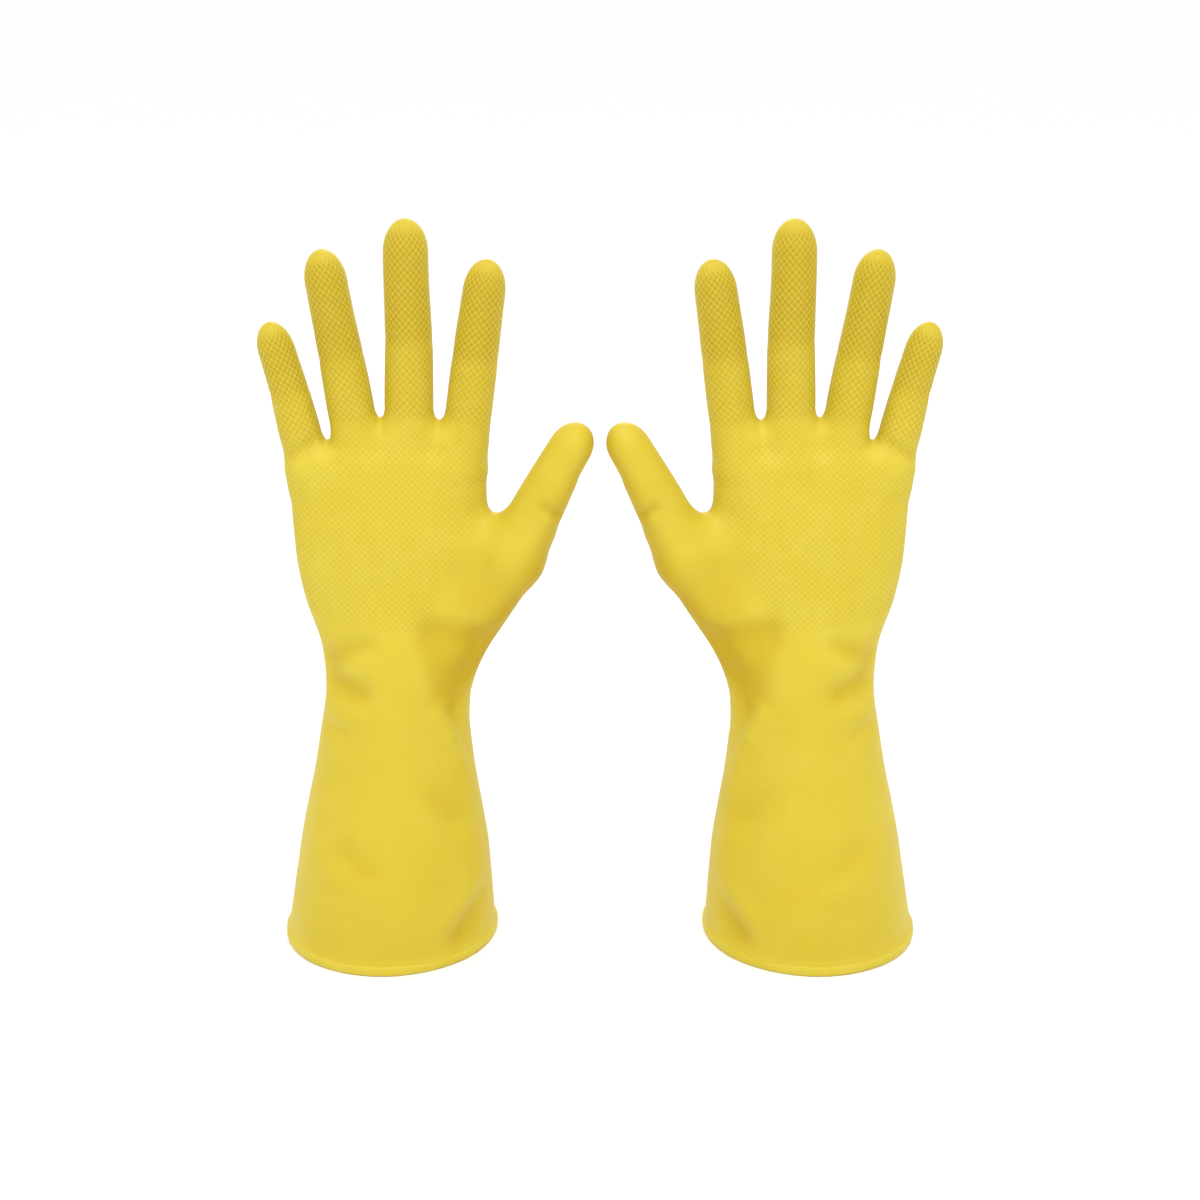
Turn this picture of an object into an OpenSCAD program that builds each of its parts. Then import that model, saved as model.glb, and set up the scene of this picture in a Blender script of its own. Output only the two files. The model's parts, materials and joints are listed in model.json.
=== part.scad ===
// A pair of household rubber gloves standing on their cuffs, palms to -Y.
// Each glove is a thin latex film with a cotton flock lining and a rolled bead.
// Origin: on the ground, midway between the two cuffs. +Z up, millimetres.

/* [Pair] */
// Distance between the centres of the two cuffs
pair_pitch = 190; // [189:1:260]

/* [Film] */
// Thickness of the latex film
film = 0.7; // [0.5:0.05:0.9]
// Thickness of the flock lining
flock = 0.35; // [0.2:0.05:0.5]
// Gap between a bending piece and the piece it turns in
play = 0.6; // [0.5:0.05:0.9]

/* [Cuff] */
// Outside diameter of the rolled bead
bead_d = 96; // [84:1:104]
// Height of the rolled bead
bead_h = 4.6; // [3.6:0.1:6]
// Radial thickness of the rolled bead
bead_t = 2.4; // [2:0.1:3]
// Height of the wrist, where the hand bends on the cuff
wrist_h = 112; // [100:1:124]
// Breadth of the wrist
wrist_w = 64; // [58:1:70]
// Depth of the wrist, front to back
wrist_d = 47; // [42:1:52]
// How far the wrist sits towards the thumb from the middle of the cuff
wrist_shift = 5.5; // [0:0.5:8]

/* [Palm] */
// Height of the palm from the wrist to the finger crotches
palm_h = 118; // [110:1:128]
// How much narrower the palm is than the row of finger roots
palm_in = 7.2; // [4:0.2:10]
// How far the palm sits towards the thumb from the middle of the cuff
palm_shift = 4.4; // [0:0.2:7]
// Depth of the palm, front to back
palm_d = 34; // [30:1:40]
// Depth at the row of knuckles
knuckle_d = 25; // [22:1:28]

/* [Finger stalls] */
// Length of the little finger stall from its root bend to its tip
little_len = 46; // [40:1:54]
// Length of the ring finger stall
ring_len = 66; // [58:1:74]
// Length of the middle finger stall
middle_len = 77; // [68:1:84]
// Length of the index finger stall
index_len = 63; // [56:1:72]
// Diameter of the little finger stall at its root
little_d = 18.6; // [17:0.2:19.6]
// Diameter of the ring finger stall at its root
ring_d = 19.8; // [18:0.2:20.6]
// Diameter of the middle finger stall at its root
middle_d = 20.8; // [19:0.2:21.6]
// Diameter of the index finger stall at its root
index_d = 19.8; // [18:0.2:21]
// Gap between the middle finger stall and those beside it
finger_gap = 4.8; // [3:0.2:6]
// Gap between the ring and little finger stalls
little_gap = 2.6; // [2:0.2:4]
// Height of the middle finger's root bend above the crotches
root_up = 15; // [13:0.5:17]
// How much lower the little finger's root bend is than the middle finger's
little_drop = 11; // [8:0.5:13]
// Angle by which the little finger stall leans outwards
little_lean = 12.5; // [10:0.5:15]
// Angle by which the ring finger stall leans outwards
ring_lean = 7.8; // [6:0.2:9]
// Angle by which the index finger stall leans towards the thumb
index_lean = 8.5; // [6:0.5:10]
// Angle by which the far part of each finger leans to the palm side
tip_lean = 8; // [0:1:14]
// Share of its root diameter that a stall keeps below its rounded end
taper = 0.9; // [0.84:0.01:1]
// Length of the rounded end of a stall
dome_h = 15; // [12:0.5:17]

/* [Thumb stall] */
// Length of the thumb stall from its root bend to its tip
thumb_len = 39.5; // [36:0.5:46]
// Diameter of the thumb stall at its root
thumb_d = 22; // [20:0.2:24]
// How far the thumb's root bend is below the finger crotches
thumb_drop = 27; // [22:1:31]
// How far the thumb's root bend stands out from the edge of the palm
thumb_out = 23; // [20:0.5:25]
// How far the thumb's root bend is in front of the palm's middle
thumb_fore = 8; // [4:0.5:10]
// Angle by which the thumb stall leans outwards
thumb_lean = 26.5; // [22:0.5:30]
// Angle by which the far part of the thumb leans away from the palm
thumb_tip_lean = 8; // [0:1:12]

/* [Bends] */
// Largest bend of the wrist to the palm side
wrist_fold = 45; // [20:5:50]
// Largest bend of the wrist to the back
wrist_back = 30; // [10:5:35]
// Largest bend of a stall at its root
root_fold = 60; // [30:5:60]
// Largest bend of a stall at its knuckle
knuckle_fold = 70; // [30:5:70]
// Largest bend of a stall to the back
root_back = 10; // [5:1:12]

/* [Hidden] */
around = 24;         // points round the cuff and palm
fold_room = 6;       // how much further than its largest bend a knuckle is cut to fold
stall_around = 12;   // points round a stall
$fn = 12;

// Places of the roots on the right-hand glove, whose cuff is centred on the origin
row_w = little_d + ring_d + middle_d + index_d + 2 * finger_gap + little_gap;
palm_w = row_w - palm_in;
little_x = palm_shift - row_w / 2 + little_d / 2;
ring_x = little_x + little_d / 2 + little_gap + ring_d / 2;
middle_x = ring_x + ring_d / 2 + finger_gap + middle_d / 2;
index_x = middle_x + middle_d / 2 + finger_gap + index_d / 2;
thumb_x = palm_shift + palm_w / 2 + thumb_out;
crotch_h = wrist_h + palm_h;
root_h = crotch_h + root_up;
thumb_z = crotch_h - thumb_drop;
// Each stall: root [x, y, z], [forward lean, side lean, turn of its bend], diameter, length,
// share of the length below the knuckle, lean of its far part
STALLS = [
    [[little_x, 0, root_h - little_drop], [0, -little_lean, 0], little_d, little_len, 0.39, tip_lean],
    [[ring_x, 0, root_h - 1], [0, -ring_lean, 0], ring_d, ring_len, 0.34, tip_lean],
    [[middle_x, 0, root_h], [0, 0.8, 0], middle_d, middle_len, 0.36, tip_lean],
    [[index_x, 0, root_h - 2], [0, index_lean, 0], index_d, index_len, 0.36, tip_lean],
    [[thumb_x, -thumb_fore, thumb_z], [10, thumb_lean, -35], thumb_d, thumb_len, 0.45, -thumb_tip_lean]];
STALL_NAMES = ["little", "ring", "middle", "index", "thumb"];
FINGERS = [0:3];
THUMB = 4;
SIDES = ["right", "left"];

latex = [0.93, 0.82, 0.27];
cotton = [0.95, 0.93, 0.86];

// ---- curves and skins ----
function mix(a, b, t) = a + (b - a) * t;
// Runs smoothly from 0 to 1
function ease(t) = t <= 0 ? 0 : t >= 1 ? 1 : t * t * (3 - 2 * t);
function spread(c, e) = sign(c) * pow(abs(c), 2 / e);
// One level ring of the glove: an oval, squarer as e grows
function oval(x, z, half_w, half_d, e) = [for (i = [0:around - 1]) let (a = 360 * i / around)
    [x + half_w * spread(cos(a), e), half_d * spread(sin(a), e), z]];
// One ring of a stall about its own Z axis
function loop(r, z) = [for (i = [0:stall_around - 1]) let (a = 360 * i / stall_around)
    [r * cos(a), r * sin(a), z]];
function backwards(rings) = [for (k = [len(rings) - 1:-1:0]) rings[k]];
// Height of a wall's end at depth y, cut so that the next piece can fold to the front or the back
function mitre(y, fold, back) = (y < 0 ? y * tan(fold / 2) : -y * tan(back / 2)) - play;

// A closed skin through rings of equal count. Capped: both end rings are closed with a
// face. Otherwise the last ring joins the first.
module skin(rings, capped) {
    n = len(rings[0]);
    m = len(rings);
    sides = [for (k = [0:m - (capped ? 2 : 1)], i = [0:n - 1])
        let (a = k * n, b = (k + 1) % m * n, j = (i + 1) % n)
        each [[a + i, b + i, b + j], [a + i, b + j, a + j]]];
    caps = capped ? [[for (i = [0:n - 1]) i], [for (i = [n - 1:-1:0]) (m - 1) * n + i]] : [];
    polyhedron(points = [for (ring = rings) each ring], faces = concat(sides, caps), convexity = 8);
}

// ---- cuff ----
cuff_foot = bead_h / 2;   // the film ends inside the bead
cuff_r = bead_d / 2 - bead_t / 2 + film / 2;
cuff_top = wrist_h + mitre(-wrist_d / 2, wrist_fold, wrist_back) - 4;
CUFF_LEVELS = [for (k = [0:6]) mix(cuff_foot, cuff_top, k / 6)];
// 1 at the rim and 0 at the wrist
function flare(z) = pow(cos(90 * min(z / wrist_h, 1)), 1.75);
function cuff_ring(z, inset) = oval(wrist_shift * z / wrist_h, z,
    mix(wrist_w / 2, cuff_r, flare(z)) - inset, mix(wrist_d / 2, cuff_r, flare(z)) - inset, 2);
// The last ring is cut for the bend of the wrist
function cuff_end(inset) = [for (p = cuff_ring(wrist_h, inset))
    [p.x, p.y, wrist_h + mitre(p.y, wrist_fold, wrist_back)]];
function cuff_wall(inset) = concat([for (z = CUFF_LEVELS) cuff_ring(z, inset)], [cuff_end(inset)]);

module cuff_bead() {
    straight = bead_h - bead_t / 2;
    color(latex) rotate_extrude($fn = 72) translate([bead_d / 2 - bead_t, 0]) {
        square([bead_t, straight]);
        translate([bead_t / 2, straight]) circle(d = bead_t, $fn = 24);
    }
}

module cuff() {
    color(latex) skin(concat(cuff_wall(0), backwards(cuff_wall(film))), false);
}

module cuff_flock() {
    // stops below the reach of the hand's round end
    levels = [for (z = CUFF_LEVELS) if (z > bead_h && z < wrist_h - wrist_d / 2) z];
    outer = [for (z = levels) cuff_ring(z, film)];
    inner = [for (z = levels) cuff_ring(z, film + flock)];
    color(cotton) skin(concat(outer, backwards(inner)), false);
}

// ---- hand ----
// The hand's lower end is round about the wrist's axis and turns inside the cuff
turn_w = wrist_w / 2 - film - play;
turn_d = wrist_d / 2 - film - play;
neck_h = 12;    // above this the hand has its own full size
hand_foot = wrist_h - turn_d * 0.77;
top_in_w = 9;   // how far the closed top of the palm is set in from its sides
top_in_d = 4.4; // and from its front and back
stub_l = 30.8;   // how deep the root of a finger runs into the palm
web_r = 6.8;    // roundness of the web between two fingers
web_l = 13.9;   // its depth below the root bends
HAND_LEVELS = [0, neck_h / palm_h, 0.2, 0.32, 0.45, 0.6, 0.76, 0.92, 1];
function palm_half_w(u) = mix(wrist_w / 2, palm_w / 2, ease(u > neck_h / palm_h ? (u - 0.1) / 0.68 : 0));
function palm_half_d(u) = mix(mix(wrist_d / 2, palm_d / 2, ease(u / 0.45)), knuckle_d / 2,
    ease((u - 0.45) / 0.5));
function palm_mid(u) = mix(wrist_shift, palm_shift, ease(u)) + 1.6 * sin(180 * min(u / 0.4, 1));
// One ring of the palm, from u = 0 at the wrist to u = 1 at the crotches
function palm_ring(u, inset) = oval(palm_mid(u), wrist_h + palm_h * u,
    (u == 0 ? turn_w : palm_half_w(u)) - (u == 1 ? top_in_w : 0) - inset,
    (u == 0 ? turn_d : palm_half_d(u)) - (u == 1 ? top_in_d : 0) - inset, mix(2, 2.5, ease(u / 0.5)));
ball_r = 14;    // roundness of the ball of the thumb and of its heel
side_web_r = 13; // roundness of the web between the palm and the thumb
ball_in = 21.4; // how far the ball's fullest place is in from the thumb's root bend
ball_drop = 42; // and how far below it
// Ball of the thumb: its fullest place, the web beside it, and its heel at the wrist
BALL = [thumb_x - ball_in, -6, thumb_z - ball_drop];
WEB = [palm_shift + palm_w / 2 - side_web_r + 0.6, -2, thumb_z - 25];
HEEL = [wrist_shift + wrist_w / 2 - ball_r + 1.5, -3, wrist_h + 20];

module at_stall(i) {
    translate(STALLS[i][0]) rotate([STALLS[i][1].x, 0, 0]) rotate([0, STALLS[i][1].y, 0])
        rotate([0, 0, STALLS[i][1].z]) children();
}

module disc(i, z, inset, wider = 1, deeper = 1) {
    at_stall(i) translate([0, 0, z]) scale([wider, deeper, 1])
        cylinder(r = STALLS[i][2] / 2 - inset, h = 0.1);
}

// The hand's whole form, set in by the thickness of what lies outside it
module hand_form(inset) {
    skin([for (u = HAND_LEVELS) palm_ring(u, inset)], true);
    translate([wrist_shift, 0, wrist_h]) scale([turn_w - inset, turn_d - inset, turn_d - inset])
        sphere(1, $fn = around);
    for (i = FINGERS) hull() {
        disc(i, 1, inset);
        disc(i, -STALLS[i][2] / 2, inset);
        disc(i, -stub_l, inset, 0.9, 0.9);
    }
    // webs beside the middle finger
    for (i = [1:2]) hull() for (k = [i, i + 1])
        at_stall(k) translate([0, 0, -web_l]) sphere(web_r - inset);
    hull() {
        disc(THUMB, 1, inset);
        disc(THUMB, -12, inset, 1.06, 1.06);
    }
    hull() {
        disc(THUMB, -12, inset, 1.06, 1.06);
        translate(BALL) sphere(ball_r - inset);
        translate(WEB) sphere(side_web_r - inset);
    }
    hull() {
        translate(BALL) sphere(ball_r - inset);
        translate(HEEL) sphere(ball_r - inset);
        translate(WEB - [0, 0, 2]) sphere(side_web_r - 0.6 - inset);
    }
}

// What is cut off a stub so that its stall can fold
module stall_mitre(i) {
    half = STALLS[i][2] / 2 + 0.3;
    far = 40;
    at_stall(i) rotate([90, 0, -90]) translate([0, 0, -half]) linear_extrude(2 * half)
        polygon([[far, mitre(-far, root_fold, root_back)], [0, -play],
            [-far, mitre(far, root_fold, root_back)], [-far, far], [far, far]]);
}

module below_hand() {
    size = 200;
    translate([-size / 2, -size / 2, hand_foot - size]) cube(size);
}

module hand() {
    color(latex) difference() {
        hand_form(0);
        hand_form(film);
        for (i = [0:THUMB]) stall_mitre(i);
        below_hand();
    }
}

module hand_flock() {
    color(cotton) difference() {
        hand_form(film);
        hand_form(film + flock);
        // clear of the round ends of the stalls
        for (i = [0:THUMB]) at_stall(i) translate([-15, -20, -STALLS[i][2] / 2 - 1]) cube([30, 40, 30]);
        below_hand();
    }
}

// ---- stalls ----
function stall_r(i, z) = STALLS[i][2] / 2 * mix(1, taper, z / (STALLS[i][3] - dome_h));
function root_l(i) = STALLS[i][3] * STALLS[i][4];
knuckle_cut = knuckle_fold + fold_room;
// Radius of the round end that turns inside the piece before it
function turn_r(i, z) = stall_r(i, z) - film - play;
// Where the round end opens, as an angle from its own bottom. At the front it stays
// behind the mitred wall, which half of the fold is cut from.
front_open = 80;
back_open = 46;
function rim(a, fold) = mix(front_open - fold / 2, back_open, (1 + sin(a)) / 2);
function ball_loop(r, t, fold) = [for (i = [0:stall_around - 1])
    let (a = 360 * i / stall_around, b = mix(rim(a, fold), 90, t))
    [r * sin(b) * cos(a), r * sin(b) * sin(a), -r * cos(b)]];
// Height above the bend from which a stall can have its full radius
function neck_l(i, fold) = stall_r(i, 0) * tan(fold / 2) + play;
function neck_loop(i, z, fold, inset) = loop(stall_r(i, z + neck_l(i, fold)) - inset, neck_l(i, fold));
// Rings from the round end's rim up to the neck, for a surface set in by inset
function turn_rings(i, z, fold, inset) = concat(
    [for (t = [0, 0.5, 1]) ball_loop(turn_r(i, z) - inset, t, fold)],
    [neck_loop(i, z, fold, inset)]);
function root_end(i, inset) = [for (p = loop(stall_r(i, root_l(i)) - inset, 0))
    [p.x, p.y, root_l(i) + mitre(p.y, knuckle_cut, 0)]];
function root_wall(i, inset) = concat(turn_rings(i, 0, root_fold, inset), [root_end(i, inset)]);
// Rings of the rounded end, by their angle up its ellipse
DOME = [0, 28, 52, 72, 85];
function dome_rings(i, inset) = let (r = stall_r(i, STALLS[i][3] - dome_h) - inset)
    [for (a = DOME) loop(r * cos(a), STALLS[i][3] - root_l(i) - dome_h + (dome_h - inset) * sin(a))];
function tip_wall(i, inset) = concat(turn_rings(i, root_l(i), knuckle_cut, inset), dome_rings(i, inset));
function tip_lining(i, inset) = concat([neck_loop(i, root_l(i), knuckle_cut, inset)],
    dome_rings(i, inset));

module at_knuckle(i) {
    at_stall(i) translate([0, 0, root_l(i)]) rotate([STALLS[i][5], 0, 0]) children();
}

module stall_root(i) {
    color(latex) at_stall(i) skin(concat(root_wall(i, 0), backwards(root_wall(i, film))), false);
}

module stall_root_flock(i) {
    // a band between the root's own round end and that of the tip
    top = root_l(i) - turn_r(i, root_l(i)) - 1;
    low = min(neck_l(i, root_fold), top - 2);
    seat = film + 0.05;
    function band(inset) = [for (z = [low, top]) loop(stall_r(i, z) - inset, z)];
    color(cotton) at_stall(i) skin(concat(band(seat), backwards(band(seat + flock))), false);
}

module stall_tip(i) {
    color(latex) at_knuckle(i) skin(concat(backwards(tip_wall(i, film)), tip_wall(i, 0)), true);
}

module stall_tip_flock(i) {
    color(cotton) at_knuckle(i)
        skin(concat(backwards(tip_lining(i, film + flock)), tip_lining(i, film)), true);
}

// ---- the pair ----
// Children are drawn as on the right-hand glove; the left-hand glove is its mirror image
module placed(side) {
    mirror([side == "left" ? 1 : 0, 0, 0]) translate([-pair_pitch / 2, 0, 0]) children();
}

for (side = SIDES) {
    placed(side) cuff_bead();
    placed(side) cuff();
    placed(side) cuff_flock();
    placed(side) hand();
    placed(side) hand_flock();
    for (i = [0:THUMB]) {
        stall = str(side, "_", STALL_NAMES[i]);
        placed(side) stall_root(i);
        placed(side) stall_root_flock(i);
        placed(side) stall_tip(i);
        placed(side) stall_tip_flock(i);
    }
}
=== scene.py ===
"""A pair of household rubber gloves, standing on their rolled rims with the palms to the front.

Shapes are worked out in millimetres on the right-hand glove, measured from the middle of its
cuff: x towards the thumb, y towards the back of the hand, z up. The left-hand glove is the
mirror image of it.
"""
import json

import bpy
import numpy as np
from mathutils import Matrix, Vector


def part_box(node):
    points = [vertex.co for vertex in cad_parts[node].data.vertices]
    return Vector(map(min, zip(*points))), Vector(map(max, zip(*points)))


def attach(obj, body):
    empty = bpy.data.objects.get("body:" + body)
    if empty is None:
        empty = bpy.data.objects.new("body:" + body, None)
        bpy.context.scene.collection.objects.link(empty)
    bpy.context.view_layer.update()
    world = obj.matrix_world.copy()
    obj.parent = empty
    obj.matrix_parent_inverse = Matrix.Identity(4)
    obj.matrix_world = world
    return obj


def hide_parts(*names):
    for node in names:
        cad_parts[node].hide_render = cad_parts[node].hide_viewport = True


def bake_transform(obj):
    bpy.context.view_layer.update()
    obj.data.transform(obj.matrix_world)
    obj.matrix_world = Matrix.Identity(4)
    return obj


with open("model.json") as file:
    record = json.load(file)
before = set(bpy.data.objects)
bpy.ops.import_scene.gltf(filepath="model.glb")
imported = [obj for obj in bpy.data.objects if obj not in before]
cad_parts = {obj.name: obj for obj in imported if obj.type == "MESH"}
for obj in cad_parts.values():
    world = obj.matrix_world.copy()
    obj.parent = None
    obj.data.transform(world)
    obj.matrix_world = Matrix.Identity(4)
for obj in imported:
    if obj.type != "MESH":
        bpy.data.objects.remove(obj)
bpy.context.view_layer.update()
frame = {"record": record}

MM = 0.001

# ---- The places of the bends --------------------------------------------------------------
# Where the rubber bends is fixed by the frame: at the wrist, and at the root and the knuckle
# of each finger stall. Each stall has its own axes: x along its hinge, z along the finger.

SIDES = {"right": 1.0, "left": -1.0}
bends = {joint["name"]: joint for joint in frame["record"]["behaviour"]["joints"]}
rim_low, rim_high = (np.array(corner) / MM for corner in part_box("right_cuff_bead"))
glove_x = (rim_low[0] + rim_high[0]) / 2
rim_radius = (rim_high[0] - rim_low[0]) / 2
rim_height = rim_high[2]


def bend_place(name):
    """Where a bend of the right-hand glove is, and the direction of its hinge."""
    joint = bends["right_" + name]
    return np.array(joint["pos_m"]) / MM - [glove_x, 0, 0], np.array(joint["axis"])


class Stall:
    """A finger stall: its place and axes from the frame, and the sizes given here."""

    def __init__(self, name, radius, dome, flatness, lean, taper, root_zone, knuckle_zone):
        self.name = name
        self.root, hinge = bend_place(name + "_root_bend")
        knuckle, _ = bend_place(name + "_knuckle_bend")
        self.knuckle = np.linalg.norm(knuckle - self.root)
        along = (knuckle - self.root) / self.knuckle
        self.axes = np.stack([hinge, np.cross(along, hinge), along], 1)
        self.lean = np.tan(np.radians(lean))
        tip_way = self.axes @ [0, -self.lean, 1]
        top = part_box("right_" + name + "_tip")[1][2] / MM
        rise = np.hypot(dome * tip_way[2], radius * taper * np.hypot(*tip_way[:2]))
        self.length = self.knuckle + (top - rise - knuckle[2]) / tip_way[2] + dome
        self.radius, self.dome, self.flatness, self.taper = radius, dome, flatness, taper
        self.root_zone, self.knuckle_zone = root_zone, knuckle_zone

    def local(self, p):
        """Across, forward and along offsets from the finger's own curved middle line, which
        is straight to the knuckle and leans forward past it, with a soft turn between."""
        x, y, z = ((p - self.root) @ self.axes).T
        softness = 4
        past = softness * np.log1p(np.exp(np.clip((z - self.knuckle) / softness, -30, 30)))
        return x, y + self.lean * past, z

    def point(self, along):
        """The point of the straight root line at that distance from the root bend."""
        return self.root + self.axes[:, 2] * along


# radius, round end, depth over breadth, lean of the far part, taper, zones that bend
STALLS = [
    Stall("little", 8.8, 13, 0.96, 8, 0.88, (-5.5, 9), (9, 31)),
    Stall("ring", 9.8, 14, 0.96, 8, 0.88, (-5.5, 14), (14, 34)),
    Stall("middle", 10.3, 14, 0.96, 8, 0.89, (-5.5, 15), (15, 40)),
    Stall("index", 9.9, 14, 0.96, 8, 0.90, (-5.5, 14), (14, 34)),
    Stall("thumb", 10.3, 11.5, 0.92, -8, 0.91, (-8, 9), (9, 27)),
]
FINGERS = STALLS[:4]
THUMB = STALLS[4]
WRIST_ZONE = (95.0, 130.0)

# ---- The dipped film ----------------------------------------------------------------------
# One skin of natural latex, about 0.7 mm thick, made by dipping a ceramic hand and pulling
# the glove off. It has no seams. Its form is a cuff and palm, four fingers, and a thumb on
# its ball, all run together with soft fillets as the wet latex leaves them.

FILM = 0.7
BEAD_STANDS_OUT = 0.9
HEIGHTS = np.arange(-20.0, 261.0)


def across(a, b, x):
    """Runs smoothly from 0 at a to 1 at b: 3 t^2 - 2 t^3."""
    t = np.clip((x - a) / (b - a), 0, 1)
    return t * t * (3 - 2 * t)


def smooth_run(*stations):
    """A smooth curve past (height, size) stations: straight runs between them, and then at
    each height the mean of 12 mm to either side, with bell-shaped weights."""
    reach, spread = 12, 5.0
    height, size = np.array(stations, float).T
    weights = np.exp(-(np.arange(-reach, reach + 1) / spread) ** 2)
    straight = np.pad(np.interp(HEIGHTS, height, size), reach, mode="edge")
    smooth = np.convolve(straight, weights / weights.sum(), mode="valid")
    return lambda z: np.interp(z, HEIGHTS, smooth)


film_radius = rim_radius - BEAD_STANDS_OUT
little_edge = smooth_run(
    (-20, -film_radius), (0, -film_radius), (23, -43.5), (43, -39.6), (63, -35.6), (82, -31.4),
    (101, -27.8), (115, -25.2), (126, -25.0), (140, -26.4), (148, -29.0), (157, -32.0),
    (175, -35.0), (193, -36.4), (210, -37.0), (260, -37.0))
thumb_edge = smooth_run(
    (-20, film_radius), (0, film_radius), (23, 46.0), (43, 44.7), (63, 41.9), (82, 39.0),
    (101, 37.0), (115, 38.2), (126, 39.4), (137, 41.0), (148, 42.0), (175, 44.5), (193, 46.6),
    (210, 46.9), (217, 45.8), (260, 45.8))
half_depth = smooth_run(
    (-20, film_radius), (0, film_radius), (23, 44.6), (43, 39.6), (63, 33.6), (82, 28.4),
    (101, 24.8), (115, 23.0), (126, 21.6), (140, 19.8), (157, 18.0), (175, 17.0),
    (193, 15.6), (210, 13.6), (224, 12.0), (260, 11.6))
squareness = smooth_run((-20, 2.0), (100, 2.0), (170, 2.5), (260, 2.5))
# the palm ends in a round cap over this height, hidden between the roots of the fingers
PALM_TOP, PALM_CAP = 213.0, 14.0


def oval_gap(offsets, halves, e):
    """Distance to an oval: (q - 1) over the slope of q, where q is the e-norm of the offsets,
    each measured in the oval's half size that way."""
    offsets, halves = np.abs(offsets), np.array(np.broadcast_arrays(*halves))
    parts = offsets / halves
    q = np.maximum((parts ** e).sum(0) ** (1 / e), 1e-6)
    slope = np.sqrt((((parts / q) ** (e - 1) / halves) ** 2).sum(0))
    return (q - 1) / slope


def ball_run_gap(p, start, end, r0, r1):
    """Distance to a ball drawn along a straight run while its radius goes from r0 to r1."""
    run = end - start
    t = np.clip((p - start) @ run / (run @ run), 0, 1)
    return np.linalg.norm(p - start - t[:, None] * run, axis=1) - (r0 + (r1 - r0) * t)


def filleted(a, b, width):
    """The nearer of two distances, less up to a quarter of width where they are alike."""
    t = np.clip(0.5 + 0.5 * (b - a) / width, 0, 1)
    return b + (a - b) * t - width * t * (1 - t)


def palm_gap(p):
    """Distance to the cuff and palm: ovals whose sides follow the runs, closed at the top."""
    x, y, z = p.T
    left, right = little_edge(z), thumb_edge(z)
    over = np.maximum(z - PALM_TOP, 0)
    return oval_gap([x - (left + right) / 2, y, over],
                    [(right - left) / 2, half_depth(z), PALM_CAP], squareness(z))


# how far below its root bend a stall's foot starts to close, and how fast it does
STALL_FOOT, STALL_FOOT_BLUNTNESS = 24.0, 1.6


def stall_gap(p, stall):
    """Distance to a tapered oval tube on the finger's middle line, with an oval round end
    at the fingertip and a rounded foot inside the palm."""
    x, y, z = stall.local(p)
    top = stall.length - stall.dome
    r = stall.radius * (1 - (1 - stall.taper) * np.clip(z / top, 0, 1))
    over = np.maximum(z - top, 0) + STALL_FOOT_BLUNTNESS * np.maximum(-z - STALL_FOOT, 0)
    return oval_gap([x, y, over], [r, r * stall.flatness, stall.dome], 2.0)


# the ball of the thumb, and the web between it and the palm
thumb_side = THUMB.point(12) + [0.8, 0, 0]
ball_top = THUMB.point(-14) + [1.0, 0, 0]
ball_centre = THUMB.point(-14) + [-5.6, 0.2, -12.5]
heel_centre = np.array([25.0, -3.5, 131.0])
web_centre = np.array([38.5, -2.0, 181.0])
# from, to, radius at each end, fillet
BALL_RUNS = [
    (thumb_side, ball_top, 9.2, 11.4, 2),
    (ball_top, ball_centre, 11.4, 13.3, 3),
    (ball_centre, heel_centre, 13.3, 14.4, 6),
    (THUMB.point(-14), web_centre, 7.5, 11.5, 5),
]
# the crotches beside the middle finger are filled by a web at this depth below the root bends
WEB_DEPTH, WEB_RADIUS, WEB_FILLET = 15.5, 6.4, 5
FINGER_FILLET, THUMB_FILLET = 7, 9


def glove_gap(p):
    """Distance to the whole film's outside: negative inside, positive outside. The fillets
    between neighbouring fingers are wide in the palm and narrow above the crotches."""
    palm = palm_gap(p)
    for one, next_one in zip(FINGERS[1:3], FINGERS[2:4]):
        ends = one.point(-WEB_DEPTH), next_one.point(-WEB_DEPTH)
        palm = filleted(palm, ball_run_gap(p, *ends, WEB_RADIUS, WEB_RADIUS), WEB_FILLET)
    between = 2.4 + 7 * across(230, 218, p[:, 2])
    fingers = stall_gap(p, FINGERS[0])
    for finger in FINGERS[1:]:
        fingers = filleted(fingers, stall_gap(p, finger), between)
    thumb = stall_gap(p, THUMB)
    for start, end, r0, r1, fillet in BALL_RUNS:
        thumb = filleted(thumb, ball_run_gap(p, start, end, r0, r1), fillet)
    return filleted(filleted(palm, fingers, FINGER_FILLET), thumb, THUMB_FILLET)


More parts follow.
